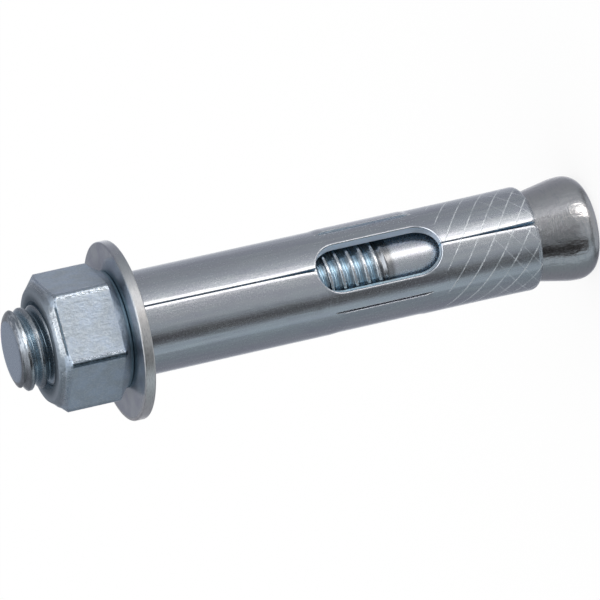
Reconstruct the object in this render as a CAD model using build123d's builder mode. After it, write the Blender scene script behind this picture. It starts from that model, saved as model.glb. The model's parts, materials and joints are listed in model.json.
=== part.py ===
from build123d import *
import os
from math import cos, degrees, radians, sin, tan

# Sleeve anchor with a hexagon nut, about 16 mm across and 94 mm long. It stands on the flat end
# of its expander cone: +Z runs up the stud to the nut, and the origin is the centre of the cone's
# end face. The seam of the rolled sleeve and the window that crosses it face -Y. Lengths are in
# millimetres.

# Screw thread of the stud and the nut, drawn as plain cylinders at the crest
thread_pitch = 25.4 / 13
stud_d = 12.65
thread_clearance = 0.05
threaded_length = 59.8
runout_turns = 0.6

# Stud and its forged expander cone
shank_d = 11.45
stud_projection = 4.6
end_face_d = 8.2
end_rounding_length = 1.25
head_d = 16.3
cone_half_angle = 11.0
crown_radius = 11.5
shoulder_height = 2.67
shoulder_depth = 2.06
cone_root_fillet = 4.0

# Rolled sheet sleeve
sleeve_d = 16.12
sheet_thickness = 1.27
sleeve_length = 65.8
seam_gap = 0.3
seam_lip_radius = 0.3
collar_edge_chamfer = 0.2
mouth_bevel_depth = 0.75
mouth_bevel_length = 0.9
mouth_flare = 0.1
flare_length = 9.0
bell_length = 2.3
bell_depth = 0.23
cone_seat_gap = 0.07

# Obround window punched across the seam, and the panel lanced out opposite to it
window_from_washer = 29.4
window_length = 20.3
window_width = 8.05
window_edge_chamfer = 0.12
panel_from_washer = 31.5
panel_length = 15.9
panel_ramp = 1.5
slit_angle = 52.0
slit_gap = 0.16
panel_clearance = 0.05

# Loose flat washer, which hangs on the stud with its play to one side
washer_d = 27.8
washer_thickness = 1.7
washer_play = 0.5
washer_sag = 0.8
washer_sag_angle = 167.1
washer_rim_chamfer = 0.2

# Cold-formed hexagon nut with a washer face
nut_across_flats = 19.05
nut_height = 11.9
nut_turned = -4.7
washer_face_d = 18.2
washer_face_height = 0.4
bearing_blend = 1.4
outer_face_inset = 0.78
outer_edge_margin = 0.12
outer_edge_depth = 1.5
corner_chamfer_angle = 11.0
countersink_depth = 0.6

# Radii, angles and heights that follow from the sizes above
stud_r = stud_d / 2
shank_r = shank_d / 2
end_face_r = end_face_d / 2
head_r = head_d / 2
sleeve_r = sleeve_d / 2
sleeve_bore_r = sleeve_r - sheet_thickness
mouth_bore_r = sleeve_bore_r + bell_depth
cone_slope = tan(radians(cone_half_angle))
cone_mouth_r = mouth_bore_r - cone_seat_gap
crown_start_r = head_r - crown_radius * (1 - cos(radians(cone_half_angle)))
crown_start_z = shoulder_height + crown_radius * sin(radians(cone_half_angle))
mouth_z = crown_start_z + (crown_start_r - cone_mouth_r) / cone_slope
cone_root_z = mouth_z + (cone_mouth_r - shank_r) / cone_slope
collar_z = mouth_z + sleeve_length
nut_z = collar_z + washer_thickness
nut_top_z = nut_z + nut_height
stud_top_z = nut_top_z + stud_projection
thread_end_z = stud_top_z - threaded_length
thread_runout = runout_turns * thread_pitch

# A rounded end is drawn as two bevels that meet at the 45 degree point of its quarter ellipse,
# which lies this share of the ellipse's radius inside the corner
bevel_share = 1 - cos(radians(45))


def below_washer(depth):
    """Height of a place on the sleeve that is given by its distance from the washer."""
    return collar_z - depth


# Stud: one forged and rolled piece, turned about the axis
with BuildPart() as anchor_stud:
    with BuildSketch(Plane.XZ) as stud_section:
        with BuildLine():
            Line((0, 0), (head_r - shoulder_depth, 0))
            shoulder = (head_r - shoulder_depth, shoulder_height)
            EllipticalCenterArc(shoulder, shoulder_depth, shoulder_height, -90, arc_size=90)
            RadiusArc((head_r, shoulder_height), (crown_start_r, crown_start_z), -crown_radius)
            Polyline(
                (crown_start_r, crown_start_z),
                (shank_r, cone_root_z),
                (shank_r, thread_end_z),
                (stud_r, thread_end_z + thread_runout),
                (stud_r, stud_top_z - end_rounding_length),
                (
                    stud_r - bevel_share * (stud_r - end_face_r),
                    stud_top_z - bevel_share * end_rounding_length,
                ),
                (end_face_r, stud_top_z),
                (0, stud_top_z),
                (0, 0),
            )
        make_face()
        cone_root = stud_section.vertices().sort_by_distance((shank_r, cone_root_z))[0]
        fillet(cone_root, cone_root_fillet)
    revolve(axis=Axis.Z)
anchor_stud.part.label = "anchor_stud"


def wall_section(shift, half_angle):
    """The rolled wall's section, moved towards the seam by shift, without the arc round the seam."""
    reach = 3 * sleeve_r
    with Locations((0, -shift)):
        Circle(sleeve_r)
        Circle(sleeve_bore_r, mode=Mode.SUBTRACT)
    side = reach * sin(radians(half_angle))
    front = -reach * cos(radians(half_angle))
    wedge = [(0, 0), (-side, front), (-side, -reach), (side, -reach), (side, front)]
    Polygon(*wedge, align=None, mode=Mode.SUBTRACT)


def window_section(distance):
    """An obround that widens with its distance from the axis, so that its walls are radial."""
    half_width = distance * tan(window_width / 2 / sleeve_r)
    straight = window_length - window_width
    Rectangle(2 * half_width, straight)
    with Locations((0, straight / 2), (0, -straight / 2)):
        Ellipse(half_width, window_width / 2)


def on_window_wall(point):
    """Whether a point of the sleeve lies in the middle of the sheet on the window's edge."""
    return (
        abs(point.Z - window_z) < window_length / 2 + window_edge_chamfer
        and sleeve_bore_r < (point.X**2 + point.Y**2) ** 0.5 < sleeve_r
        and abs(point.X) < sleeve_r * sin(window_width / 2 / sleeve_r) + window_edge_chamfer
        and point.Y < 0
    )


def on_outer_skin(point):
    """Whether a point lies on the outer surface of the straight sleeve."""
    return abs((point.X**2 + point.Y**2) ** 0.5 - sleeve_r) < window_edge_chamfer / 10


half_slit = degrees(slit_gap / 2 / sleeve_r)
panel_top_z = below_washer(panel_from_washer)
panel_bottom_z = panel_top_z - panel_length
panel_push = sleeve_bore_r - stud_r - panel_clearance
window_z = below_washer(window_from_washer + window_length / 2)

# Sleeve: a sheet rolled into a tube, open along its seam
with BuildPart() as expansion_sleeve:
    # wall turned about the axis, belled inside and twice bevelled outside at the mouth
    with BuildSketch(Plane.XZ) as sleeve_section:
        mouth_r = sleeve_r + mouth_flare
        mouth_end = (mouth_r - mouth_bevel_depth, mouth_z)
        with BuildLine():
            Polyline(
                mouth_end,
                (
                    mouth_r - bevel_share * mouth_bevel_depth,
                    mouth_z + bevel_share * mouth_bevel_length,
                ),
                (mouth_r, mouth_z + mouth_bevel_length),
                (sleeve_r, mouth_z + flare_length),
                (sleeve_r, collar_z),
                (sleeve_bore_r, collar_z),
                (sleeve_bore_r, mouth_z + bell_length),
                (mouth_bore_r, mouth_z),
                mouth_end,
            )
        make_face()
        collar_edge = sleeve_section.vertices().sort_by_distance((sleeve_r, collar_z))[0]
        chamfer(collar_edge, collar_edge_chamfer)
    revolve(axis=Axis.Z)

    # panel behind the slits, pushed towards the seam until it almost touches the stud
    with BuildSketch(Plane.XY.offset(panel_bottom_z)):
        wall_section(0, slit_angle - half_slit)
    extrude(amount=panel_length, mode=Mode.SUBTRACT)
    with BuildSketch(Plane.XY.offset(panel_bottom_z)):
        wall_section(0, slit_angle + half_slit)
    with BuildSketch(Plane.XY.offset(panel_bottom_z + panel_ramp)):
        wall_section(panel_push, slit_angle + half_slit)
    loft(ruled=True)
    with BuildSketch(Plane.XY.offset(panel_bottom_z + panel_ramp)):
        wall_section(panel_push, slit_angle + half_slit)
    extrude(amount=panel_length - 2 * panel_ramp)
    with BuildSketch(Plane.XY.offset(panel_top_z - panel_ramp)):
        wall_section(panel_push, slit_angle + half_slit)
    with BuildSketch(Plane.XY.offset(panel_top_z)):
        wall_section(0, slit_angle + half_slit)
    loft(ruled=True)

    # window with radial walls, because it is punched before the sheet is rolled
    near, far = sleeve_bore_r / 2, sleeve_r + sheet_thickness
    for distance in (near, far):
        with BuildSketch(Plane.XZ.offset(distance)):
            with Locations((0, window_z)):
                window_section(distance)
    loft(ruled=True, mode=Mode.SUBTRACT)
    window_walls = expansion_sleeve.faces().filter_by(lambda face: on_window_wall(face.center()))
    window_rim = window_walls.edges().filter_by(lambda edge: on_outer_skin(edge @ 0.5))
    chamfer(window_rim, window_edge_chamfer)

    # seam with rolled lips
    with BuildSketch(Plane.XY.offset(mouth_z)):
        half_gap = seam_gap / 2
        lip_x = half_gap + seam_lip_radius
        with BuildLine():
            Line((-half_gap, -near), (-half_gap, seam_lip_radius - sleeve_r))
            RadiusArc((-half_gap, seam_lip_radius - sleeve_r), (-lip_x, -sleeve_r), seam_lip_radius)
            Polyline((-lip_x, -sleeve_r), (-lip_x, -far), (lip_x, -far), (lip_x, -sleeve_r))
            RadiusArc((lip_x, -sleeve_r), (half_gap, seam_lip_radius - sleeve_r), seam_lip_radius)
            Polyline((half_gap, seam_lip_radius - sleeve_r), (half_gap, -near), (-half_gap, -near))
        make_face()
    extrude(amount=sleeve_length, mode=Mode.SUBTRACT)
expansion_sleeve.part.label = "expansion_sleeve"

# Washer: a plain blanked ring with its rim's edges broken
washer_shift = washer_sag * washer_play
washer_x = washer_shift * cos(radians(washer_sag_angle))
washer_y = washer_shift * sin(radians(washer_sag_angle))
with BuildPart() as flat_washer:
    with BuildSketch(Plane.XY.offset(collar_z)):
        with Locations((washer_x, washer_y)):
            Circle(washer_d / 2)
            Circle(stud_r + washer_play, mode=Mode.SUBTRACT)
    extrude(amount=washer_thickness)
    rim = flat_washer.edges().filter_by(GeomType.CIRCLE).group_by(SortBy.RADIUS)[-1]
    chamfer(rim, washer_rim_chamfer)
flat_washer.part.label = "flat_washer"

nut_bore_r = stud_r + thread_clearance
nut_corner_angles = [nut_turned + 60 * corner for corner in range(6)]


def nut_circle(radius):
    """A circle in six arcs that end in line with the hexagon's corners."""
    with BuildLine() as outline:
        for angle in nut_corner_angles:
            CenterArc((0, 0), radius, angle, 60)
    make_face(outline.edges())


def nut_hexagon():
    """The nut's hexagon with its corners in their place."""
    RegularPolygon(nut_across_flats / 2, 6, major_radius=False, rotation=nut_turned)


# Nut: hexagon that runs into a round washer face below. Above, a steep edge round its outer
# face runs out into a flatter chamfer of the corners.
with BuildPart() as hex_nut:
    flats_z = nut_z + washer_face_height + bearing_blend
    with BuildSketch(Plane.XY.offset(nut_z)):
        Circle(washer_face_d / 2)
    extrude(amount=washer_face_height)
    with BuildSketch(Plane.XY.offset(nut_z + washer_face_height)):
        nut_circle(washer_face_d / 2)
    with BuildSketch(Plane.XY.offset(flats_z)):
        nut_hexagon()
    loft(ruled=True)
    with BuildSketch(Plane.XY.offset(flats_z)):
        nut_hexagon()
    extrude(amount=nut_top_z - flats_z)
    outer_face_r = nut_across_flats / 2 - outer_face_inset
    edge_r = nut_across_flats / 2 + outer_edge_margin
    edge_z = nut_top_z - outer_edge_depth
    corner_drop = (nut_across_flats - edge_r) * tan(radians(corner_chamfer_angle))
    with BuildSketch(Plane.XZ):
        with BuildLine():
            Polyline(
                (outer_face_r, nut_top_z),
                (edge_r, edge_z),
                (nut_across_flats, edge_z - corner_drop),
                (nut_across_flats, nut_top_z),
                (outer_face_r, nut_top_z),
            )
        make_face()
    revolve(axis=Axis.Z, mode=Mode.SUBTRACT)
    with BuildSketch(Plane.XZ):
        with BuildLine():
            Polyline(
                (0, nut_z),
                (nut_bore_r + countersink_depth, nut_z),
                (nut_bore_r, nut_z + countersink_depth),
                (nut_bore_r, nut_top_z - countersink_depth),
                (nut_bore_r + countersink_depth, nut_top_z),
                (0, nut_top_z),
                (0, nut_z),
            )
        make_face()
    revolve(axis=Axis.Z, mode=Mode.SUBTRACT)
hex_nut.part.label = "hex_nut"

os.makedirs("parts", exist_ok=True)
export_step(anchor_stud.part, "parts/anchor_stud.step")
export_step(expansion_sleeve.part, "parts/expansion_sleeve.step")
export_step(flat_washer.part, "parts/flat_washer.step")
export_step(hex_nut.part, "parts/hex_nut.step")

turns = stud_projection / thread_pitch
print(f"mouth {mouth_z:.3f} collar {collar_z:.3f} nut {nut_z:.3f} top {nut_top_z:.3f} end {stud_top_z:.3f}")
print(f"cone root {cone_root_z:.3f} thread end {thread_end_z:.3f} panel push {panel_push:.3f}")
print(f"washer centre {washer_x:.4f} {washer_y:.4f}; nut turns to flush {turns:.4f} = {360 * turns:.2f} deg")
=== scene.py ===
import json
import math

import bpy
import numpy as np
from mathutils import Matrix, Vector


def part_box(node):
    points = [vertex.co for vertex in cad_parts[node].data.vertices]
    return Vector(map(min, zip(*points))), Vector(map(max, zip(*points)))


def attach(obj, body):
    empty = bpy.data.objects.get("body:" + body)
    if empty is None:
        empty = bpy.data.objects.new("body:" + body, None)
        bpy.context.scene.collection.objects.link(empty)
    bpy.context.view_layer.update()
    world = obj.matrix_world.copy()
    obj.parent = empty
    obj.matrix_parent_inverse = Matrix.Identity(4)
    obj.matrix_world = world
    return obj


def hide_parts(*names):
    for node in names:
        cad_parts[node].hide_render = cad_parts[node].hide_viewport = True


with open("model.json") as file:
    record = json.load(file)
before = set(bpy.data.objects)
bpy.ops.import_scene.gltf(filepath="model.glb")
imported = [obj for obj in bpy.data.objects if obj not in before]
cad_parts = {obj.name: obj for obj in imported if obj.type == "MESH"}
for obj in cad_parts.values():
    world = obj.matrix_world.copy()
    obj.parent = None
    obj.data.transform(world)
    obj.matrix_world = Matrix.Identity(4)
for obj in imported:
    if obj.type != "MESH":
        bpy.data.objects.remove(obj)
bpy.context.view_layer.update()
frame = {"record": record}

# The shapes below are worked out in millimetres and written to the meshes in metres
MM = 0.001


def box_mm(node):
    """Lowest and highest corner of a CAD node, in millimetres."""
    low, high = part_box(node)
    return np.array(low) / MM, np.array(high) / MM


stud_high = box_mm("anchor_stud")[1]
sleeve_low, sleeve_high = box_mm("expansion_sleeve")
washer_low, washer_high = box_mm("flat_washer")
nut_low, nut_high = box_mm("hex_nut")
behaviour = frame["record"]["behaviour"]

# Heights of the joints between the pieces
mouth_z = sleeve_low[2]
collar_z = sleeve_high[2]
nut_z = nut_low[2]
nut_top_z = nut_high[2]
stud_top_z = stud_high[2]

# The photograph's viewpoint, from a fit to the object's outlines: the polar angle it looks
# from, how far its line of sight is tilted down, and the camera's roll, in degrees
view_polar = -102.9
view_tilt = 17.38
view_roll = 12.6
camera_lens = 398.9
camera_distance = 1015.3
# The point it was fitted round, and the camera's shift to the right and down in the picture
aim_below_collar = 24.916
aim_aside = 0.1
camera_right = 3.423
camera_down = 1.015
# The polar angle of the studio's lamp: the stud's ring of drawn marks has a painted highlight on this side
# and painted shade on the far side
lit_polar = view_polar + 35

# Screw thread: the coupling turns the nut by this much for each metre it climbs. The crest's
# phase is its share of a turn at the collar's height and the viewpoint's polar angle.
pitch = 2 * math.pi / abs(behaviour["couplings"][0]["ratio"]) / MM
crest_r = 6.325
crest_flat = 0.55
crest_phase = 0.27
crest_rounding = 0.12
crest_lift = 0.012
root_rounding = 0.16
thread_depth = 1.12
thread_play = 0.06
nut_minor_r = 5.3
thread_end_z = stud_top_z - 59.8
thread_fade = 2.4
plain_top_z = thread_end_z - 1.4
helix_z = thread_end_z - 1.5
end_face_r = 4.1
end_rounding = 1.25
rounding_z = stud_top_z - end_rounding
# Where the thread's points are laid: shares of one turn from the crest, closest at the edges of
# the crest and of the root, and the number of columns round the stud
half_turn = np.array([0.045, 0.075, 0.11, 0.2, 0.3, 0.385, 0.43])
turn_steps = np.concatenate([[0], half_turn, [0.5], 1 - half_turn[::-1]])
stud_columns = 129

# Stud below the thread
shank_r = 5.725
head_r = stud_high[0]
shoulder_height = 2.67
shoulder_depth = 2.06
crown_radius = 11.5
cone_half_angle = math.radians(11.0)
cone_root_blend = 4.0

# Sleeve
sleeve_r = 8.06
sheet_thickness = 1.27
mouth_rounding_depth = 0.75
mouth_rounding_length = 0.9
mouth_flare = sleeve_high[0] - sleeve_r
flare_length = 9.0
flare_power = 1.5
bell_length = 2.3
bell_depth = 0.23
seam_lip = 0.12
seam_bevel_width = 0.36
seam_bevel_turn = 6.3
seam_corner_r = 0.7
seam_corner_fade = 2.5
sheet_edge = 0.26
collar_edge = 0.2
window_width = 8.05
window_length = 20.3
window_top_z = collar_z - 29.4
window_z = window_top_z - window_length / 2
panel_length = 15.9
panel_top_z = collar_z - 31.5
panel_bottom_z = panel_top_z - panel_length
panel_ramp = 1.5
panel_push = 0.415
panel_lift = 0.16
panel_lift_angle = 50
slit_angle = 52.0
slit_gaps = (0.05, 0.1)
slit_edge = 0.1
# Where the sheet's points are laid: their distances from an edge in millimetres, from a slit as
# shares of its rounded edge, the number of columns across the back, and the rows' spacing
edge_steps = np.array([0, 0.01, 0.03, 0.065, 0.11, 0.17, 0.24, 0.3, 0.42, 0.65])
slit_steps = np.array([0, 0.15, 0.5, 1.0, 2.5])
back_columns = 52
row_spacing = 1.1
# The seam's line leans by these angles at the mouth and at the collar, and its gap's half width
# changes with the height above the mouth
seam_lean = (0.6, 4.1)
seam_gap_height = (0, 5, 12, 16, 36.4, 39, 44, 65.8)
seam_gap_half = (0.28, 0.17, 0.04, 0.03, 0.2, 0.12, 0.055, 0.055)

# Marks kept for the sleeve's points, from which its material tells skins and cut walls apart, and gives
# the window's lower wall a painted highlight
outer_mark = 0.0
inner_mark = 0.6
wall_mark = 0.5
slit_marks = (0.25, 0.1)
window_marks = (0.8, 1.0)

# Crossing scores round the sleeve's mouth end
score_top_z = 25.7
cross_score_top_z = 17.5
score_count = 13
score_slope = 1.33
score_width = 0.11
score_arc = 2 * math.pi * sleeve_r / score_count

# Washer
washer_r = (washer_high[0] - washer_low[0]) / 2
washer_play = 0.5
washer_bore_r = crest_r + washer_play
washer_centre = (washer_low + washer_high) / 2
washer_columns = 145
rim_rounding = 0.28
bore_rounding = 0.2

# Nut: its turn, and the polar angles of the flat with a painted highlight on its burr and of the corner
# with a painted dark reflection, are in degrees
across_flats = 19.05
nut_turned = -4.7
painted_flat = nut_turned - 90
painted_corner = nut_turned - 120.7
corner_round = 0.9
washer_face_r = 9.1
washer_face_height = 0.4
washer_face_rounding = 0.15
washer_face_ring_r = 7.9
bearing_blend = 1.4
outer_face_r = 8.75
outer_face_rings = (outer_face_r - 0.03, outer_face_r - 0.12, 8.2, 7.6, 7.2)
outer_edge_depth = 1.3
corner_slope = 0.32
chamfer_power = 0.8
corner_power = 0.15
burr_height = 0.13
burr_drop = 0.95
burr_width = 0.18
crease_share = 0.8
crease_drop = 1.22
crease_width = 0.1
bore_play = 0.05
countersink_depth = 0.6
countersink_r = crest_r + bore_play + countersink_depth

# Tints of the studio's areas: cool at one side, mauve behind the object, brownish on the dark
# screen and warm on the lamp
studio_plain = (0.95, 1.0, 1.07, 1)
studio_front = (0.97, 1.0, 1.04, 1)
studio_cool = (0.86, 1.0, 1.09, 1)
studio_mauve = (0.92, 0.96, 1.09, 1)
studio_brown = (1.07, 0.965, 0.97, 1)
studio_warm = (1.06, 1.01, 0.97, 1)
white = (1, 1, 1, 1)

# Zinc plating: the metal's own colours, with a teal, a near-black and a dusky grey used as painted shade
# and a cyan used as a painted highlight
zinc_plain = (0.59, 0.625, 0.665, 1)
zinc_pale = (0.70, 0.72, 0.735, 1)
zinc_blue = (0.36, 0.56, 0.72, 1)
painted_shade_teal = (0.25, 0.36, 0.44, 1)
painted_shade_dark = (0.06, 0.095, 0.125, 1)
zinc_azure = (0.54, 0.68, 0.78, 1)
zinc_slate = (0.535, 0.62, 0.73, 1)
zinc_mauve = (0.57, 0.585, 0.645, 1)
zinc_steel = (0.49, 0.555, 0.62, 1)
zinc_warm = (0.63, 0.615, 0.61, 1)
zinc_bright = (0.80, 0.84, 0.87, 1)
zinc_worn = (0.82, 0.80, 0.785, 1)
painted_light_cyan = (0.62, 0.80, 0.90, 1)
zinc_shade = (0.38, 0.425, 0.47, 1)
painted_shade_dusk = (0.25, 0.255, 0.265, 1)


def level_line(polar):
    """The level unit vector at a polar angle in degrees."""
    return math.cos(math.radians(polar)), math.sin(math.radians(polar)), 0.0


class Value:
    """A node's output. Plain arithmetic on it adds Math nodes."""

    def __init__(self, maker, socket):
        self.maker = maker
        self.socket = socket

    def math(self, operation, *others):
        """Adds a Math node with this output first."""
        return self.maker.math(operation, self, *others)

    def __add__(self, other):
        return self.math("ADD", other)

    def __radd__(self, other):
        return self.maker.math("ADD", other, self)

    def __sub__(self, other):
        return self.math("SUBTRACT", other)

    def __rsub__(self, other):
        return self.maker.math("SUBTRACT", other, self)

    def __mul__(self, other):
        return self.math("MULTIPLY", other)

    def __rmul__(self, other):
        return self.maker.math("MULTIPLY", other, self)

    def __truediv__(self, other):
        return self.math("DIVIDE", other)

    def __rtruediv__(self, other):
        return self.maker.math("DIVIDE", other, self)


class Maker:
    """Adds nodes to the tree of one material or world."""

    def __init__(self, owner):
        owner.use_nodes = True
        self.tree = owner.node_tree
        self.tree.nodes.clear()

    def add(self, kind, settings=None, values=None):
        """Adds a node: its settings first, then the values or links of its sockets."""
        node = self.tree.nodes.new(kind)
        for name, setting in (settings or {}).items():
            setattr(node, name, setting)
        for name, value in (values or {}).items():
            if isinstance(value, Value):
                self.tree.links.new(value.socket, node.inputs[name])
            else:
                node.inputs[name].default_value = value
        return node

    def out(self, node, name=0):
        """One output of a node."""
        return Value(self, node.outputs[name])

    def math(self, operation, *values):
        """The result of a Math node."""
        return self.out(self.add("ShaderNodeMath", {"operation": operation}, dict(enumerate(values))))

    def vector(self, operation, *vectors, name=0, **values):
        """The result of a Vector Math node."""
        sockets = {**dict(enumerate(vectors)), **values}
        return self.out(self.add("ShaderNodeVectorMath", {"operation": operation}, sockets), name)

    def step(self, value, start, end, low=0.0, high=1.0):
        """Goes smoothly from low to high while the value goes from start to end."""
        values = {"Value": value, "From Min": start, "From Max": end, "To Min": low, "To Max": high}
        return self.out(self.add("ShaderNodeMapRange", {"interpolation_type": "SMOOTHSTEP"}, values))

    def between(self, value, start, end, soft):
        """1 between start and end and 0 outside them, with edges of the width soft."""
        rise = self.step(value, start - soft / 2, start + soft / 2)
        return rise * self.step(value, end - soft / 2, end + soft / 2, 1.0, 0.0)

    def mix(self, share, first, second):
        """A colour that goes from the first to the second with the share."""
        settings = {"data_type": "RGBA", "blend_type": "MIX"}
        return self.out(self.add("ShaderNodeMix", settings, {0: share, 6: first, 7: second}), 2)

    def noise(self, vector, scale, detail=2.0, roughness=0.5, stretch=None):
        """A noise value, about 0.5 on average, on the vector times the stretch."""
        if stretch:
            vector = self.vector("MULTIPLY", vector, stretch)
        values = {"Vector": vector, "Scale": scale, "Detail": detail, "Roughness": roughness}
        return self.out(self.add("ShaderNodeTexNoise", None, values))

    def place(self):
        """The shaded point's Object coordinates, in millimetres."""
        coordinates = self.out(self.add("ShaderNodeTexCoord"), "Object")
        return self.vector("SCALE", coordinates, Scale=1 / MM)

    def parts(self, vector):
        """A vector's three numbers."""
        node = self.add("ShaderNodeSeparateXYZ", None, {0: vector})
        return [self.out(node, name) for name in "XYZ"]

    def turn(self, x, y):
        """A point's angle round the upright axis, as a share of a turn."""
        return self.math("ARCTAN2", y, x) / (2 * math.pi)

    def radius(self, place):
        """A point's distance from the upright axis."""
        return self.vector("LENGTH", self.vector("MULTIPLY", place, (1, 1, 0)), name=1)

    def along(self, vector, line):
        """How far a vector goes along a line: their dot product."""
        return self.vector("DOT_PRODUCT", vector, line, name=1)

    def mark(self, name):
        """The number that the mesh keeps for the shaded point."""
        return self.out(self.add("ShaderNodeAttribute", {"attribute_name": name}), "Fac")


def new_material(name):
    """An empty material and the maker of its nodes."""
    material = bpy.data.materials.new(name)
    return material, Maker(material)


def finish_metal(make, colour, roughness, height, bump_mm, metallic=1.0):
    """Ends a metal's nodes: its colour and roughness, and a relief height worth bump_mm."""
    bump = make.add("ShaderNodeBump", None, {"Strength": 1.0, "Distance": bump_mm * MM, "Height": height})
    values = {"Base Color": colour, "Metallic": metallic, "Roughness": roughness, "Normal": make.out(bump)}
    metal = make.add("ShaderNodeBsdfPrincipled", None, values)
    make.add("ShaderNodeOutputMaterial", None, {"Surface": make.out(metal)})


def stud_finish():
    """Plated stud: fine streaks round the shank, a forged head with faint dents, a thread with
    bluish roots, and a ring of drawn marks at its end. Painted shade lies on one flank of the thread
    and its runout, in its roots outside the nut and on it next to the nut; the ring has a painted
    highlight on the lamp's side and painted shade on the far side.
    """
    material, make = new_material("stud_plating")
    place = make.place()
    x, y, z = make.parts(place)
    radius = make.radius(place)
    streak = make.noise(place, 1.4, 3.0, 0.6, (0.5, 0.5, 3.0))
    speck = make.noise(place, 5.5, 3.0, 0.6)
    cloud = make.noise(place, 0.6)
    dent = make.noise(place, 1.1, 3.0, 0.6, (1, 1, 0.6))
    mottle = make.step(speck, 0.4, 0.65)

    head = make.step(z, mouth_z, mouth_z + 3.0, 1.0, 0.0)
    threaded = make.step(z, helix_z, thread_end_z + thread_fade)
    outside = make.step(z, nut_top_z - 1.0, nut_top_z + 1.5)
    # Painted shade on the thread next to the nut
    shade_by_nut = make.step(z, nut_top_z + 0.6, nut_top_z + 2.6, 1.0, 0.0) * outside
    root = make.step(radius, crest_r - 0.5, crest_r - 0.15, 1.0, 0.0)
    root = root * make.step(z, thread_end_z + 0.8, thread_end_z + 2.6)
    collar_turns = crest_phase - collar_z / pitch + view_polar / 360
    off_crest = (z / pitch - make.turn(x, y) + collar_turns).math("FRACT")
    # Painted shade on one flank of the thread and on its runout, inside the sleeve
    flank = make.between(off_crest, 0.62, 0.83, 0.08) * root
    runout = make.between(z, thread_end_z - 0.7, thread_end_z + 1.5, 0.8)
    painted_thread_shade = flank.math("MAXIMUM", runout) * (1 - outside)
    face = make.step(z, stud_top_z - 0.1, stud_top_z - 0.02)
    ring = make.step(z, rounding_z - 0.3, rounding_z + 0.2) * (1 - face)
    # Painted light on the side of the end ring that faces the lamp, painted shade on the far side
    painted_lit_side = make.along(place, level_line(lit_polar)) / radius
    painted_lit_side = make.step(painted_lit_side, 0.7, 0.92, 0.12, 1.0)

    colour = make.mix(make.step(cloud, 0.35, 0.65), zinc_plain, zinc_mauve)
    colour = make.mix(head * 0.7, colour, zinc_warm)
    colour = make.mix(head * make.step(streak, 0.5, 0.75) * 0.35, colour, zinc_shade)
    colour = make.mix(threaded, colour, make.mix(mottle, zinc_shade, zinc_pale))
    colour = make.mix(root * (1 - 0.7 * outside), colour, zinc_azure)
    # Painted shade: on the flank and runout, in the roots outside the nut, and next to the nut
    colour = make.mix(painted_thread_shade * 0.85, colour, painted_shade_dusk)
    colour = make.mix(root * outside * 0.5, colour, painted_shade_teal)
    colour = make.mix(shade_by_nut * 0.8, colour, painted_shade_dark)
    colour = make.mix(face, colour, zinc_slate)
    # The ring's drawn marks, with a painted highlight towards the lamp and painted shade away from it
    drawn = make.mix(painted_lit_side, painted_shade_dusk, zinc_shade)
    drawn = make.mix(make.step(streak, 0.42, 0.56) * painted_lit_side, drawn, zinc_bright)
    colour = make.mix(ring, colour, drawn)
    rough = 0.22 + 0.06 * mottle + 0.06 * streak - head * 0.065 - threaded * (1 - outside) * 0.06
    height = (0.6 + 3 * ring + 2 * head + outside) * streak + speck * (0.6 - 0.2 * head) + 11 * head * dent
    finish_metal(make, colour, rough, height, 0.006, 1 - 0.05 * root)
    return material


def washer_finish():
    """Plated washer: a smooth face with painted shade of the nut near it, and a grainy rim with marks
    along it and painted shade on its rounded edge.
    """
    material, make = new_material("washer_plating")
    place = make.place()
    radius = make.radius(place)
    speck = make.noise(place, 4.0, 4.0, 0.65)
    cloud = make.noise(place, 0.35)
    streak = make.noise(place, 1.6, 3.0, 0.6, (1, 1, 6))

    rim = make.step(radius, washer_r - 0.45, washer_r - 0.15)
    # Painted shade along the rim's rounded edge
    edge = make.between(radius, washer_r - 0.32, washer_r - 0.06, 0.1)
    # Painted shade of the nut on the face round it, strongest on the side towards the viewpoint
    facing = make.along(place, level_line(view_polar)) / radius
    nut_shade = make.step(radius, 9.5, 11.6, 0.85, 0.0) * make.step(facing, 0.2, 0.75, 0.25, 1.0)

    colour = make.mix(make.step(cloud, 0.35, 0.65), zinc_pale, zinc_mauve)
    # Painted shade of the nut
    colour = make.mix(nut_shade, colour, painted_shade_dark)
    colour = make.mix(rim, colour, make.mix(make.step(streak, 0.35, 0.55), zinc_warm, zinc_worn))
    # Painted shade on the rim's rounded edge
    colour = make.mix(edge * 0.5, colour, zinc_shade)
    rough = 0.16 + 0.06 * speck + 0.11 * rim + 0.1 * edge
    height = speck * (0.25 + 1.5 * rim) + 1.5 * rim * streak
    finish_metal(make, colour, rough, height, 0.014)
    return material


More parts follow.
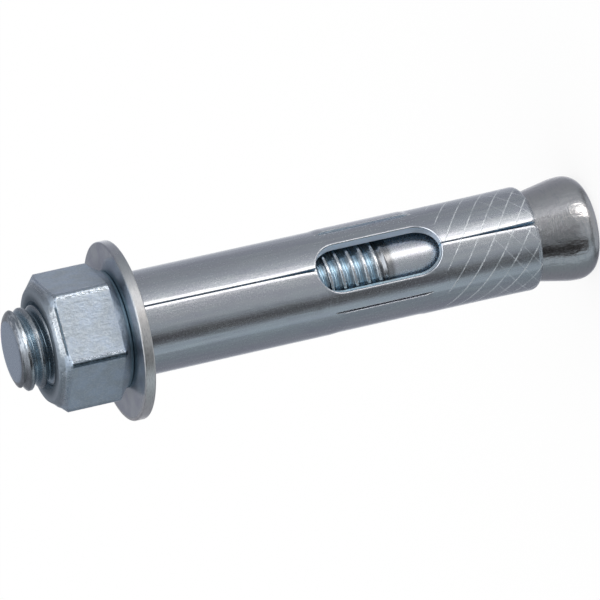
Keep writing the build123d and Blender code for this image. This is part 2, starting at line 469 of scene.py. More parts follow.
def nut_finish():
    """Plated nut: satin flats with fine wrinkles and smoother edges. Painted shade lies on its bearing
    side, its chamfer and outer face, darkest round the bore, and inside the bore. The flat facing
    the viewpoint has a painted highlight along its burr and painted shade in the crease beside it,
    and a painted dark reflection runs along one corner.
    """
    material, make = new_material("nut_plating")
    place = make.place()
    z = make.parts(place)[2]
    radius = make.radius(place)
    edge = make.mark("edge")
    speck = make.noise(place, 3.4, 5.0, 0.7)
    wrinkle = make.noise(place, 1.1, 4.0, 0.6, (1.6, 1.6, 0.9))
    cloud = make.noise(place, 0.45)

    # Painted shade on the bearing side, on the chamfer and outer face, round the bore and inside it
    seat = make.step(z, nut_z + 0.25, nut_z + 0.75, 1.0, 0.0)
    face = make.step(z, nut_top_z - 0.95, nut_top_z - 0.7)
    inside = make.step(radius, nut_minor_r + 1.0, countersink_r + 0.2, 1.0, 0.0)
    bore_shade = make.step(radius, countersink_r + 0.1, countersink_r + 1.5, 0.75, 0.0)
    # On the flat facing the viewpoint: a painted highlight along the burr and painted shade in the crease
    # beside it; a painted dark reflection along one corner
    on_flat = make.along(place, level_line(painted_flat)) / radius
    on_corner = make.along(place, level_line(painted_corner)) / radius
    painted_edge = make.step(edge, 0.2, 0.6) * make.step(on_flat, 0.85, 0.92, 0.3, 1.0)
    burr = make.between(z, nut_top_z - 1.2, nut_top_z - 0.4, 0.15) * painted_edge
    crease = make.between(z, nut_top_z - 1.45, nut_top_z - 1.15, 0.1) * make.step(painted_edge, 0.4, 0.9)
    dark_corner_reflection = make.step(on_corner, math.cos(math.radians(2.3)), math.cos(math.radians(1.2)))
    dark_corner_reflection = dark_corner_reflection * make.between(z, nut_z + 1.2, nut_top_z - 1.7, 0.5) * make.step(speck, 0.3, 0.5, 0.5)

    colour = make.mix(make.step(cloud, 0.3, 0.7), zinc_steel, zinc_slate)
    colour = make.mix(make.step(speck, 0.44, 0.64) * 0.42, colour, zinc_bright)
    # Painted shade on the bearing side, the chamfer and outer face, round the bore and inside it
    colour = make.mix(seat, colour, painted_shade_teal)
    colour = make.mix(face, colour, zinc_shade)
    colour = make.mix(face * bore_shade, colour, painted_shade_dark)
    colour = make.mix(inside, colour, painted_shade_teal)
    # Painted highlight on the burr, then painted shade in the crease and a painted dark reflection on the
    # corner
    colour = make.mix(burr, colour, make.mix(make.step(speck, 0.4, 0.5), zinc_shade, zinc_bright))
    colour = make.mix(make.math("MAXIMUM", crease, dark_corner_reflection) * 0.9, colour, painted_shade_dark)
    rough = 0.42 + 0.14 * speck - 0.36 * edge - 0.2 * inside + 0.1 * burr
    height = speck * (1.3 + 2 * burr - 0.8 * edge) + 5.0 * wrinkle
    finish_metal(make, colour, rough, height, 0.024)
    return material


def score_lines(make, angle, z, sign, strength, top_z):
    """Score lines that climb round the sleeve's mouth end, up to top_z.

    The share of a turn times the lines' count, plus the height over their spacing along the
    axis, goes up by one from each line to the next. The sign turns the lines the other way.
    """
    line = (angle * (sign * score_count) + z * (score_slope / score_arc)).math("FRACT")
    off_line = (line - 0.5).math("ABSOLUTE") * (score_arc / math.hypot(1, score_slope))
    cut = make.step(off_line, score_width / 2, score_width, strength, 0.0)
    return cut * make.step(z, top_z - 0.4, top_z + 0.4, 1.0, 0.0)


def sleeve_finish():
    """Plated sleeve: fine specks and grain, faint streaks drawn along the sheet, crossing scores
    near its mouth, a bluish inner skin, and window walls with a painted highlight on the lower one
    and painted shade towards the mouth.
    """
    material, make = new_material("sleeve_plating")
    place = make.place()
    x, y, z = make.parts(place)
    angle = make.turn(x, y)
    streak = make.noise(place, 1.5, 3.0, 0.6, (1, 1, 0.05))
    speck = make.noise(place, 4.5, 3.0, 0.65, (1, 1, 0.7))
    cloud = make.noise(place, 0.7, 3.0, 0.55, (1, 1, 0.4))
    grain = make.noise(place, 1.6, 2.0, 0.6, (0.4, 0.4, 3.0))

    scores = score_lines(make, angle, z, 1, 1.0, score_top_z)
    scores = scores.math("MAXIMUM", score_lines(make, angle, z, -1, 0.4, cross_score_top_z))
    scores = scores * make.step(cloud, 0.3, 0.55, 0.35, 1.0) * make.step(speck, 0.38, 0.52, 0.45, 1.0)
    mark = make.mark("sheared")
    inner = make.step(mark, 0.1, wall_mark)
    wall = make.step(mark, 0.65, window_marks[0])

    colour = make.mix(make.step(cloud, 0.3, 0.7), zinc_plain, zinc_mauve)
    colour = make.mix(make.step(streak, 0.35, 0.75) * 0.5, colour, zinc_pale)
    colour = make.mix(make.step(speck, 0.48, 0.7) * 0.25, colour, zinc_bright)
    colour = make.mix(scores, colour, zinc_bright)
    colour = make.mix(inner, colour, zinc_blue)
    # Window walls: a painted highlight on the lower wall, and painted shade on both towards the mouth
    wall_light_and_shade = make.mix(make.step(mark, 0.85, window_marks[1]), zinc_slate, painted_light_cyan)
    wall_light_and_shade = make.mix(make.step(z, window_z - 5.5, window_z - 9) * 0.7, wall_light_and_shade, zinc_shade)
    colour = make.mix(wall, colour, wall_light_and_shade)
    rough = 0.21 + 0.06 * make.step(speck, 0.4, 0.8) + 0.04 * streak + 0.2 * inner + 0.2 * scores
    rough = rough + make.step(z, score_top_z - 8, score_top_z, 0.04, 0.0)
    height = 0.8 * (speck + grain) + 2.4 * streak + 4.0 * cloud - 3.0 * scores
    finish_metal(make, colour, rough, height, 0.005, 1 - 0.36 * inner - 0.35 * scores)
    return material


def studio_world():
    """Soft studio seen by the metal, plain white for the camera and even light for the floor.

    Directions are measured from the photographer's side: round the upright axis, and as the
    height above the horizon. The named areas are soft panels of light and dark.
    """
    world = bpy.data.worlds.new("studio")
    bpy.context.scene.world = world
    make = Maker(world)
    ray = make.out(make.add("ShaderNodeTexCoord"), "Generated")
    toward = level_line(view_polar)
    along_view = make.along(ray, toward)
    along_side = make.along(ray, level_line(view_polar + 90))
    around = make.math("ARCTAN2", along_side, along_view) * math.degrees(1)
    rise = make.along(ray, (0, 0, 1)).math("ARCSINE") * math.degrees(1)
    tilt = math.radians(view_tilt)
    ahead = (-math.cos(tilt) * toward[0], -math.cos(tilt) * toward[1], -math.sin(tilt))
    off_ahead = make.along(ray, ahead).math("ARCCOSINE") * math.degrees(1)

    # Panels at the height of the object, and the room between them
    level = make.between(rise, -50, 34, 16)
    front = make.between(around, -24, 32, 12) * make.between(rise, -50, 0, 12) * 0.17
    front = front + make.between(around, -60, 20, 10) * make.between(rise, -38, -25, 4) * 0.1
    strip = make.between(around, 25, 42.5, 3) * make.between(rise, -30, -10, 13) * 2.3
    lamp = make.between(around, 23, 43, 18) * make.between(rise, -52, -27, 14) * 2.5
    spill = (make.math("MAXIMUM", around - 41, 0.0) / -24).math("EXPONENT")
    spill = spill * make.step(around, 34, 42) * 0.5 * level
    side = make.between(around, -84, -59, 9) * 0.21 * level
    room = 0.25 - 0.12 * make.step(rise, -42, -52)

    # Dark screens
    flag_start = make.step(rise, -12, -4, -56.0, -63.0)
    flag = make.between(around, flag_start, -33, 9) * make.between(rise, -24, 34, 5)
    dimmed = flag * make.step(rise, -12, -4, 0.88, 0.97)
    haze = make.between(around, -56, 5, 20) * make.between(rise, -10, 34, 8) * 0.4

    # White ground behind the object, and light from above and below
    fade = make.step(along_side, -0.2, 0.2, -7.0, -17.0)
    glow = (make.math("MAXIMUM", off_ahead - 12, 0.0) / fade).math("EXPONENT") * 0.75
    glow = glow * make.step(rise, -8, 18, 1.0, 0.3)
    overhead = make.step(rise, 48, 74) * 0.8
    table = make.step(rise, -52, -62) * 0.3
    key = make.between(around, -5, 45, 14) * make.between(rise, 14, 56, 8) * 2.2

    panels = front + strip + lamp + spill + side
    studio = (room + panels) * (1 - dimmed) * (1 - haze) + glow + overhead + table + key

    tint = make.mix(make.step(along_side, -0.9, 0.1), studio_cool, studio_front)
    tint = make.mix(make.step(around, 45, 80), tint, studio_plain)
    tint = make.mix(make.step(along_view, 0.0, -0.7), tint, studio_mauve)
    tint = make.mix(flag, tint, studio_brown)
    tint = make.mix(glow * 1.2, tint, white)
    tint = make.mix(make.math("MINIMUM", strip + lamp, 1.0), tint, studio_warm)
    glossy = make.out(make.add("ShaderNodeLightPath"), "Is Glossy Ray")
    plain = make.add("ShaderNodeBackground", None, {"Color": white, "Strength": 1.0})
    seen = make.add("ShaderNodeBackground", None, {"Color": tint, "Strength": studio})
    both = make.add("ShaderNodeMixShader", None, {0: glossy, 1: make.out(plain), 2: make.out(seen)})
    make.add("ShaderNodeOutputWorld", None, {"Surface": make.out(both)})


def white_floor():
    """A wide pale floor at the foot of the cone: white to the camera, with a faint shadow."""
    half_size = 60.0
    whiteness = 0.82
    mesh = bpy.data.meshes.new("floor")
    corners = [(x * half_size, y * half_size, 0) for x, y in ((-1, -1), (1, -1), (1, 1), (-1, 1))]
    mesh.from_pydata(corners, [], [(0, 1, 2, 3)])
    floor = bpy.data.objects.new("floor", mesh)
    bpy.context.scene.collection.objects.link(floor)
    material, make = new_material("floor_white")
    glossy = make.out(make.add("ShaderNodeLightPath"), "Is Glossy Ray")
    paper = make.add("ShaderNodeBsdfDiffuse", None, {"Color": white})
    lit = make.add("ShaderNodeEmission", None, {"Color": white, "Strength": 1.0})
    shown = make.add("ShaderNodeMixShader", None, {0: whiteness, 1: make.out(paper), 2: make.out(lit)})
    clear = make.add("ShaderNodeBsdfTransparent")
    surface = make.add("ShaderNodeMixShader", None, {0: glossy, 1: make.out(shown), 2: make.out(clear)})
    make.add("ShaderNodeOutputMaterial", None, {"Surface": make.out(surface)})
    mesh.materials.append(material)


def main_camera():
    """The photograph's viewpoint: its place and turn come from a fit to the object's outlines."""
    data = bpy.data.cameras.new("photo_camera")
    data.sensor_width = 36.0
    data.lens = camera_lens
    data.clip_start = 0.05
    data.clip_end = 20
    camera = bpy.data.objects.new("photo_camera", data)
    bpy.context.scene.collection.objects.link(camera)
    tilt, roll = math.radians(view_tilt), math.radians(view_roll)
    toward = Vector(level_line(view_polar))
    across = Vector(level_line(view_polar + 90))
    to_cone = Vector((0, 0, -1))
    right = math.cos(tilt) * math.cos(roll) * to_cone - math.sin(roll) * across
    right += math.sin(tilt) * math.cos(roll) * toward
    down = -math.cos(tilt) * math.sin(roll) * to_cone - math.cos(roll) * across
    down -= math.sin(tilt) * math.sin(roll) * toward
    ahead = math.sin(tilt) * to_cone - math.cos(tilt) * toward
    aim = Vector((0, 0, collar_z - aim_below_collar)) - aim_aside * across
    place = aim + camera_right * right + camera_down * down - camera_distance * ahead
    turn = Matrix((right, -down, -ahead)).transposed().to_4x4()
    camera.matrix_world = Matrix.Translation(place * MM) @ turn
    bpy.context.scene.camera = camera


def smooth_max(a, b, soft):
    """The larger of a and b, with the crossing rounded over about the width soft."""
    return (a + b + np.sqrt((a - b) ** 2 + soft**2)) / 2


def smooth_min(a, b, soft):
    """The smaller of a and b, with the crossing rounded over about the width soft."""
    return (a + b - np.sqrt((a - b) ** 2 + soft**2)) / 2


def smooth_step(x, start, end):
    """0 before start, 1 after end, and between them t * t * (3 - 2 * t) of the share t."""
    t = np.clip((x - start) / (end - start), 0, 1)
    return t * t * (3 - 2 * t)


def hump(x, middle, width):
    """A bell curve of height 1: e to the power of minus the square of the distance over the width."""
    return np.exp(-(((x - middle) / width) ** 2))


def edge_drop(distance, radius):
    """How far a rounded edge falls away at a distance from it: a quarter circle."""
    inside = radius - np.clip(distance, 0, radius)
    return radius - np.sqrt(radius**2 - inside**2)


def on_axis(r, z, polar):
    """Points at radius r, height z and polar angle in degrees, as rows by columns by three."""
    r, z, polar = np.broadcast_arrays(r, z, np.radians(polar))
    return np.stack([r * np.cos(polar), r * np.sin(polar), z], axis=2)


def weld(points, triangles):
    """Merges points that lie within a ten-thousandth of a millimetre, and drops empty faces."""
    _, first, index = np.unique(
        np.round(points * 1e4).astype(np.int64), axis=0, return_index=True, return_inverse=True
    )
    triangles = index.reshape(-1)[triangles]
    a, b, c = triangles.T
    return first, triangles[(a != b) & (b != c) & (c != a)]


def grid_triangles(rows, columns, start=0):
    """Two triangles for each cell of a grid whose points run row by row."""
    corner = start + np.arange(rows - 1)[:, None] * columns + np.arange(columns - 1)
    corner = corner.reshape(-1)
    right, above, across = corner + 1, corner + columns, corner + columns + 1
    return np.concatenate([np.stack([corner, right, across], 1), np.stack([corner, across, above], 1)])


def join_grids(*grids):
    """The points of several grids, and the triangles of each."""
    points, triangles, start = [], [], 0
    for grid in grids:
        rows, columns = grid.shape[:2]
        points.append(grid.reshape(-1, 3))
        triangles.append(grid_triangles(rows, columns, start))
        start += rows * columns
    return np.concatenate(points), np.concatenate(triangles)


def add_piece(name, body, node, slot, material, points, triangles, marks=None):
    """Makes a welded, smooth mesh from points in millimetres and triangles.

    A vertex's normal is the sum of its faces' normals times their areas squared, so that
    large flat faces stay flat up to a small rounded edge. marks, by name, are numbers kept
    for each point, which the material reads.
    """
    first, triangles = weld(points, triangles)
    points = points[first]
    a, b, c = (points[triangles[:, k]] for k in range(3))
    cross = np.cross(b - a, c - a)
    weight = cross * np.linalg.norm(cross, axis=1, keepdims=True)
    normals = np.zeros_like(points)
    for k in range(3):
        np.add.at(normals, triangles[:, k], weight)
    lengths = np.linalg.norm(normals, axis=1, keepdims=True)
    normals /= np.maximum(lengths, 1e-12)

    mesh = bpy.data.meshes.new(name)
    mesh.vertices.add(len(points))
    mesh.vertices.foreach_set("co", (points * MM).astype(np.float32).reshape(-1))
    mesh.loops.add(triangles.size)
    mesh.loops.foreach_set("vertex_index", triangles.reshape(-1).astype(np.int32))
    mesh.polygons.add(len(triangles))
    mesh.polygons.foreach_set("loop_start", np.arange(0, triangles.size, 3, dtype=np.int32))
    mesh.update(calc_edges=True)
    mesh.shade_smooth()
    mesh.normals_split_custom_set_from_vertices(normals.astype(np.float32))
    for mark_name, numbers in (marks or {}).items():
        mark = mesh.attributes.new(mark_name, "FLOAT", "POINT")
        mark.data.foreach_set("value", numbers[first].astype(np.float32))
    mesh.materials.append(material)
    piece = bpy.data.objects.new(name, mesh)
    bpy.context.scene.collection.objects.link(piece)
    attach(piece, body)
    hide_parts(node)


def thread_r(z, polar):
    """Radius of the stud's thread at height z and polar angle in degrees.

    The distance along the axis to the nearest crest, less half the crest's flat, times the
    flank's slope of cot 30 degrees, is how far the thread has fallen from its crest, up to
    its full depth.
    """
    turns = (z - collar_z) / pitch + crest_phase - (polar - view_polar) / 360
    off_crest = np.abs(turns - np.round(turns)) * pitch
    fallen = (off_crest - crest_flat / 2) / math.tan(math.radians(30))
    fallen = smooth_max(smooth_min(fallen, thread_depth, root_rounding), 0, crest_rounding)
    return crest_r - fallen + crest_lift


def thread_rows(low, high):
    """Heights, at the viewpoint's polar angle, of the rows that cover a thread from low to high."""
    first = math.floor((low - collar_z) / pitch + crest_phase) - 2
    last = math.ceil((high - collar_z) / pitch + crest_phase) + 2
    turns = np.arange(first, last)[:, None] + turn_steps[None, :] - crest_phase
    return collar_z + turns.reshape(-1) * pitch


def threaded_r(z, polar):
    """The stud's radius above its shank.

    The thread grows out of the shank over thread_fade. Near the stud's end the radius is kept
    inside a quarter ellipse that runs from the crest down to the flat end face.
    """
    grown = smooth_step(z, thread_end_z - 0.4, thread_end_z + thread_fade)
    r = shank_r + (thread_r(z, polar) - shank_r) * grown
    from_end = 1 - np.clip((stud_top_z - z) / end_rounding, 0, 1)
    limit = end_face_r + (crest_r - end_face_r) * np.sqrt(1 - from_end**2)
    return np.where(z <= plain_top_z, shank_r, np.minimum(r, limit))


def stud_points():
    """The stud: rings of a turned profile from the cone's end to the shank, then a helical grid.

    Each row of the helical grid follows the helix, so a crest is one row for its whole length.
    The rounded end is flat rings again.
    """
    polar = view_polar + np.linspace(0, 360, stud_columns)
    crown_start_r = head_r - crown_radius * (1 - math.cos(cone_half_angle))
    crown_start_z = shoulder_height + crown_radius * math.sin(cone_half_angle)
    slope = math.tan(cone_half_angle)
    root_z = crown_start_z + (crown_start_r - shank_r) / slope
    blend = cone_root_blend * math.tan(cone_half_angle / 2)

    flat_r = head_r - shoulder_depth
    turn = np.linspace(0, math.pi / 2, 15)[1:]
    shoulder = flat_r + shoulder_depth * np.sin(turn), shoulder_height * (1 - np.cos(turn))
    turn = np.linspace(0, cone_half_angle, 6)[1:]
    crown = head_r - crown_radius * (1 - np.cos(turn)), shoulder_height + crown_radius * np.sin(turn)
    turn = np.linspace(cone_half_angle, 0, 6)
    root_r = shank_r + cone_root_blend * (1 - np.cos(turn))
    root = root_r, root_z + blend - cone_root_blend * np.sin(turn)
    r = np.concatenate([[0, flat_r / 2, flat_r * 0.9, flat_r], shoulder[0], crown[0], root[0], [shank_r]])
    z = np.concatenate([[0, 0, 0, 0], shoulder[1], crown[1], root[1], [helix_z]])
    turned = on_axis(r[:, None], z[:, None], polar[None, :])

    rows = thread_rows(helix_z, rounding_z)
    z = np.clip(rows[:, None] + pitch * (polar - view_polar)[None, :] / 360, helix_z, rounding_z)
    threaded = on_axis(threaded_r(z, polar), z, polar)

    turn = np.linspace(math.pi / 2, 0, 20)[:, None]
    z = stud_top_z - end_rounding * (1 - np.cos(turn)) + 0 * polar
    rounded = on_axis(threaded_r(z, polar), z, polar)
    face_r = end_face_r * np.array([1, 0.97, 0.9, 0.5, 0])[:, None]
    face = on_axis(face_r, stud_top_z, polar[None, :])
    return join_grids(turned, np.concatenate([threaded, rounded, face]))


def washer_points():
    """The washer: a closed profile turned about its own centre, with a rounded rim and bore."""
    polar = np.linspace(0, 360, washer_columns)
    low, high = washer_low[2], washer_high[2]
    turn = np.linspace(0, math.pi / 2, 6)
    corners = [
        (washer_bore_r, low, -1, -1, bore_rounding),
        (washer_r, low, 1, -1, rim_rounding),
        (washer_r, high, 1, 1, rim_rounding),
        (washer_bore_r, high, -1, 1, bore_rounding),
    ]
    r, z = [], []
    for corner_r, corner_z, out, up, radius in corners:
        lead, trail = (np.sin(turn), np.cos(turn)) if out * up < 0 else (np.cos(turn), np.sin(turn))
        r.append(corner_r - out * radius * (1 - lead))
        z.append(corner_z - up * radius * (1 - trail))
    r, z = np.concatenate(r + [r[0][:1]]), np.concatenate(z + [z[0][:1]])
    points = on_axis(r[:, None], z[:, None], polar[None, :])
    points[..., 0] += washer_centre[0]
    points[..., 1] += washer_centre[1]
    return join_grids(points)


def window_edge(z):
    """Angle of the window's edge from the seam's line: straight sides and round ends."""
    end_radius = window_width / 2
    past_side = np.abs(z - window_z) - (window_length / 2 - end_radius)
    half_width = np.sqrt(np.clip(end_radius**2 - np.clip(past_side, 0, None) ** 2, 0, None))
    return np.where(past_side < end_radius, np.degrees(half_width / sleeve_r), -10)


def seam_edges(z):
    """Angles of the seam's two edges: the seam leans a little, and its gap is uneven."""
    centre = np.interp(z, [mouth_z, collar_z], seam_lean)
    half = np.degrees(np.interp(z - mouth_z, seam_gap_height, seam_gap_half) / sleeve_r)
    return centre - half, centre + half


def sleeve_rows():
    """Heights of the sheet's rows: close at its ends, at the window's ends and at the slits' ends."""
    turn = np.linspace(0, math.pi / 2, 9)
    mouth = mouth_z + mouth_rounding_length * (1 - np.cos(turn))
    collar = collar_z - collar_edge * (1 - np.cos(turn))
    straight = window_length / 2 - window_width / 2
    round_end = window_width / 2 * np.sin(np.radians(np.arange(0, 91, 5)))
    past_end = window_width / 2 + sheet_edge * np.array([0.2, 0.5, 1.0, 1.6])
    off_centre = straight + np.concatenate([round_end, past_end])
    off_end = np.concatenate([slit_edge * np.array([-1.0, -0.5, -0.15]), np.linspace(0, panel_ramp, 9)])
    rows = [mouth, collar, window_z - off_centre, window_z + off_centre]
    rows += [panel_bottom_z + off_end, panel_top_z - off_end]
    rows.append(np.arange(mouth_z + 1.3, collar_z - 0.5, row_spacing))
    return np.unique(np.round(np.concatenate(rows), 3))


def sheet_columns(edge, slit_gap):
    """Angles of the columns between an edge of the sheet and the slit, for each row."""
    near = edge[:, None] + np.degrees(edge_steps / sleeve_r)
    to_slit = slit_angle - np.degrees((slit_gap / 2 + slit_edge * slit_steps[::-1]) / sleeve_r)
    share = np.linspace(0, 1, 9)[None, 1:-1]
    middle = near[:, -1:] + (to_slit[0] - near[:, -1:]) * share
    return np.concatenate([near, middle, np.broadcast_to(to_slit, (len(edge), len(to_slit)))], axis=1)


def sheet_angles(z, low_seam, high_seam):
    """Angles of the sheet's columns at each height, and the last column before each slit.

    The first and last columns follow the seam and the window, so the tube stays open there.
    """
    window = window_edge(z)
    left = sheet_columns(np.maximum(high_seam, window), slit_gaps[0])
    right = 360 - sheet_columns(np.maximum(-low_seam, window), slit_gaps[1])[:, ::-1]
    ends = [slit_angle + np.degrees((gap / 2 + slit_edge * slit_steps) / sleeve_r) for gap in slit_gaps]
    back = np.linspace(ends[0][-1], 360 - ends[1][-1], back_columns)[1:-1]
    back = np.concatenate([ends[0], back, 360 - ends[1][::-1]])
    back = np.broadcast_to(back, (len(z), len(back)))
    first_slit = left.shape[1] - 1
    return np.concatenate([left, back, right], axis=1), (first_slit, first_slit + back.shape[1])


def skin_radii(z, angle, on_panel):
    """Radii of the sheet's outer and inner skins, before the outer one's edges are rounded.

    The tube flares and is rounded outside at its mouth, where it is belled inside. The panel
    between the slits keeps its curve and is moved towards the seam: a circle's point at radius
    r, moved by push, is at push * cos(angle) + sqrt(r ** 2 - (push * sin(angle)) ** 2).
    """
    from_mouth = z - mouth_z
    rounding = 1 - np.clip(from_mouth / mouth_rounding_length, 0, 1)
    outer = sleeve_r + mouth_flare * np.clip(1 - from_mouth / flare_length, 0, 1) ** flare_power
    outer = outer - mouth_rounding_depth * (1 - np.sqrt(1 - rounding**2))
    outer = outer - edge_drop(collar_z - z, collar_edge)
    inner = sleeve_r - sheet_thickness + bell_depth * np.clip(1 - from_mouth / bell_length, 0, 1)
    ramp = smooth_step(z, panel_bottom_z, panel_bottom_z + panel_ramp)
    ramp = ramp * (1 - smooth_step(z, panel_top_z - panel_ramp, panel_top_z))
    past_slit = np.abs((angle + 180) % 360 - 180) - slit_angle
    push = (panel_push + panel_lift * np.clip(1 - past_slit / panel_lift_angle, 0, 1)) * ramp * on_panel
    turned = np.radians(angle)
    return [push * np.cos(turned) + np.sqrt(r**2 - (push * np.sin(turned)) ** 2) for r in (outer, inner)]


def edge_distances(z, angle, low_seam, high_seam):
    """Distances along the sheet from the seam, from the window and from the nearer slit."""
    wrapped = (angle + 180) % 360 - 180
    from_seam = np.radians(np.where(angle < 180, wrapped - high_seam, low_seam - wrapped)) * sleeve_r
    along = np.clip(np.abs(z - window_z) - (window_length - window_width) / 2, 0, None)
    from_window = np.hypot(sleeve_r * np.radians(wrapped), along) - window_width / 2
    across = np.abs(np.abs(wrapped) - slit_angle) * math.radians(sleeve_r)
    across = across - np.where(wrapped > 0, *slit_gaps) / 2
    slit_z = (panel_top_z + panel_bottom_z) / 2
    along = np.clip(np.abs(z - slit_z) - panel_length / 2, 0, None)
    return from_seam, from_window, np.hypot(np.clip(across, 0, None), along)


def sheet_faces(cut):
    """Faces of a sheet's two skins and its walls, for the cells of its grid that aren't cut.

    The outer skin's points come first, row by row, and the inner skin's follow. A wall stands
    wherever a cell has no neighbour.
    """
    rows, columns = cut.shape[0] + 1, cut.shape[1] + 1
    outside = np.arange(rows * columns).reshape(rows, columns)
    inside = outside + rows * columns
    kept = np.pad(~cut, 1)

    def loops(where, *corners):
        """Two triangles for each place where a loop of four corners is wanted."""
        a, b, c, d = (corner[where] for corner in corners)
        return np.concatenate([np.stack([a, b, c], 1), np.stack([a, c, d], 1)])

    here = kept[1:-1, 1:-1]
    skins = [
        loops(here, outside[:-1, :-1], outside[:-1, 1:], outside[1:, 1:], outside[1:, :-1]),
        loops(here, inside[:-1, :-1], inside[1:, :-1], inside[1:, 1:], inside[:-1, 1:]),
    ]
    west, east = kept[1:-1, :-1], kept[1:-1, 1:]
    below, above = kept[:-1, 1:-1], kept[1:, 1:-1]
    walls = [
        loops(west & ~east, outside[:-1], inside[:-1], inside[1:], outside[1:]),
        loops(east & ~west, outside[:-1], outside[1:], inside[1:], inside[:-1]),
        loops(below & ~above, outside[:, :-1], outside[:, 1:], inside[:, 1:], inside[:, :-1]),
        loops(above & ~below, outside[:, :-1], inside[:, :-1], inside[:, 1:], outside[:, 1:]),
    ]
    return np.concatenate(skins), np.concatenate(walls)


def sleeve_points():
    """The sleeve: outer and inner skins on one grid of heights and angles, and the walls between.

    The cells of the two slits are left out. The outer skin drops as a quarter circle towards
    every edge, and on one side of the seam also as a straight bevel.
    """
    z = sleeve_rows()
    seam = seam_edges(z)
    angle, slits = sheet_angles(z, *seam)
    column = np.arange(angle.shape[1])
    middle_z = (z[1:] + z[:-1])[:, None] / 2
    is_slit = (column[:-1] == slits[0]) | (column[:-1] == slits[1])
    cut = (middle_z > panel_bottom_z) & (middle_z < panel_top_z) & is_slit
    in_window = (window_edge(z) > seam[1])[:, None]
    z = z[:, None]
    low_seam, high_seam = (edge[:, None] for edge in seam)

    outer, inner = skin_radii(z, angle, (column > slits[0]) & (column <= slits[1]))
    from_seam, from_window, from_slit = edge_distances(z, angle, low_seam, high_seam)
    slope = np.tan(np.radians(seam_bevel_turn - (low_seam + high_seam) / 2))
    bevel = slope * np.clip(seam_bevel_width - from_seam, 0, None) * (angle > 180)
    drop = np.maximum(edge_drop(from_seam, seam_lip) + bevel, edge_drop(from_window, sheet_edge))
    outer = outer - np.maximum(drop, edge_drop(from_slit, slit_edge))
    z = z + edge_drop(from_seam, seam_corner_r) * np.clip(1 - (z - mouth_z) / seam_corner_fade, 0, 1)
    points = np.concatenate([on_axis(r, z, angle - 90).reshape(-1, 3) for r in (outer, inner)])

    skins, walls = sheet_faces(cut)
    on_wall = np.where(in_window, np.where(angle < 180, *window_marks), wall_mark)
    on_wall = np.where(from_slit < 0.01, np.where(angle < 180, *slit_marks), on_wall)
    wall_points = np.unique(walls)
    sheared = np.repeat([outer_mark, inner_mark], angle.size)
    sheared[wall_points] = np.tile(on_wall.reshape(-1), 2)[wall_points]
    return points, np.concatenate([skins, walls]), {"sheared": sheared}


def hexagon_r(polar):
    """Distance from the axis to the nut's side: apothem over cosine, with rounded corners."""
    apothem = across_flats / 2
    off_flat = np.radians((polar - nut_turned) % 60 - 30)
    flat = apothem / np.cos(off_flat)
    centre = (apothem - corner_round) / math.cos(math.pi / 6)
    off_corner = math.pi / 6 - np.abs(off_flat)
    inside = np.clip(corner_round**2 - (centre * np.sin(off_corner)) ** 2, 0, None)
    rounded = centre * np.cos(off_corner) + np.sqrt(inside)
    tangent = math.atan((apothem - corner_round) * math.tan(math.pi / 6) / apothem)
    return np.where(np.abs(off_flat) > tangent, rounded, flat)


def nut_columns():
    """Polar angles of the nut's columns: evenly along each flat, closer at its corners."""
    half = np.array([0.0, 0.12, 0.24, 0.36, 0.48, 0.6, 0.7, 0.8, 0.87, 0.905, 0.93, 0.95, 0.97, 0.985])
    along = np.concatenate([[-1], -half[:0:-1], half])
    flat = 30 + np.degrees(np.arctan(math.tan(math.pi / 6) * along))
    polar = nut_turned + np.concatenate([flat + 60 * side for side in range(-2, 4)])
    return np.append(polar, polar[0] + 360)


def nut_bore(polar):
    """The nut's thread from its top to its bottom, with a countersink at both ends."""
    rows = thread_rows(nut_z, nut_top_z)
    z = np.clip(rows[:, None] + pitch * (polar - view_polar) / 360, nut_z, nut_top_z)
    groove = np.maximum(thread_r(z, polar) + thread_play, nut_minor_r)
    mouth = countersink_r - np.minimum(z - nut_z, nut_top_z - z)
    return on_axis(np.maximum(groove, mouth), z, polar)[::-1]


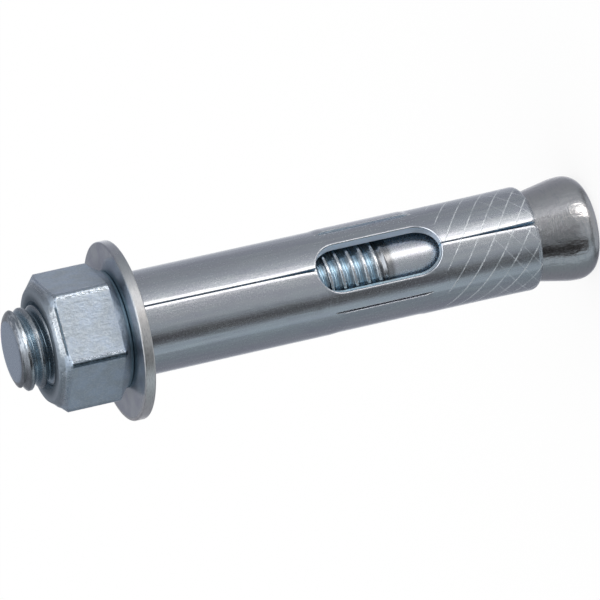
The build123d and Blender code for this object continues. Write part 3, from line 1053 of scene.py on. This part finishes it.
def nut_points():
    """The nut: an outer skin of rings from the washer face to the outer face, and a threaded bore,
    with a mark that is 1 along the edges of its flats.

    On the bearing side each ring goes from a circle to the hexagon in equal shares along every
    polar angle. On the outer side the radius goes from the hexagon to the face's rim with a
    power of the drop below the face, and a small burr stands along the middle of each flat.
    """
    polar = nut_columns()[None, :]
    side = hexagon_r(polar)
    past_flat = side - across_flats / 2
    blend_z = nut_z + washer_face_height
    flat_z = blend_z + bearing_blend
    rings = [(countersink_r, nut_z), (washer_face_ring_r, nut_z)]
    turn = np.linspace(0, math.pi / 2, 5)[:, None]
    rounding = washer_face_rounding * (1 - np.sin(turn)), washer_face_rounding * (1 - np.cos(turn))
    rings.append((washer_face_r - rounding[0], nut_z + rounding[1]))
    share = np.array([0.0, 0.06, 0.2, 0.4, 0.6, 0.8, 0.92, 0.97, 1.0, 1.03, 1.08, 1.2])[:, None]
    blended = washer_face_r + (side - washer_face_r) * share
    rings.append((smooth_min(blended, side, 0.07), blend_z + bearing_blend * share))

    side_z = nut_top_z - outer_edge_depth - past_flat * corner_slope
    start_z = flat_z + 0.2 * bearing_blend
    share = np.array([0.25, 0.5, 0.75, 0.93, 0.97, 0.99])[:, None]
    rings.append((side, start_z + (side_z - start_z) * share))
    share = np.linspace(0, 1, 26)[:-1, None]
    z = side_z + (nut_top_z - side_z) * share
    drop = nut_top_z - z
    reach = drop / (nut_top_z - side_z)
    power = chamfer_power + corner_power * past_flat
    chamfer = outer_face_r + (side - outer_face_r) * reach**power
    burr = hump(drop, burr_drop, burr_width) - crease_share * hump(drop, crease_drop, crease_width)
    chamfer = chamfer + burr_height * burr * (1 - smooth_step(past_flat, 0.2, 1.3))
    rings.append((smooth_min(chamfer, side + burr_height, 0.04), z))
    face_r = np.array([*outer_face_rings, countersink_r])
    rings.append((face_r[:, None], nut_top_z))

    rings = [np.broadcast_arrays(np.atleast_2d(r), z, polar)[:2] for r, z in rings]
    r, z = (np.concatenate(parts) for parts in zip(*rings))
    at_corner = smooth_step(past_flat, 1.0, 1.2) * (r > side - 0.3)
    at_edge = smooth_step(nut_top_z - z, 0.2, 0.4) * smooth_step(nut_top_z - z, 1.9, 1.5)
    at_edge = 0.7 * at_edge * (1 - smooth_step(past_flat, 0.3, 1.4))
    edge = np.maximum(at_corner, at_edge)
    points, triangles = join_grids(on_axis(r, z, polar), nut_bore(polar))
    return points, triangles, {"edge": np.append(edge, np.zeros(len(points) - edge.size))}


main_camera()
studio_world()
white_floor()

for name, body, node, slot, finish, shape in (
    ("anchor_stud_rolled", "stud", "anchor_stud", "stud_zinc", stud_finish, stud_points),
    ("expansion_sleeve_rolled", "sleeve", "expansion_sleeve", "sleeve_zinc", sleeve_finish, sleeve_points),
    ("flat_washer_blanked", "washer", "flat_washer", "washer_zinc", washer_finish, washer_points),
    ("hex_nut_formed", "nut", "hex_nut", "nut_zinc", nut_finish, nut_points),
):
    add_piece(name, body, node, slot, finish(), *shape())

bpy.context.scene.view_settings.view_transform = "Standard"
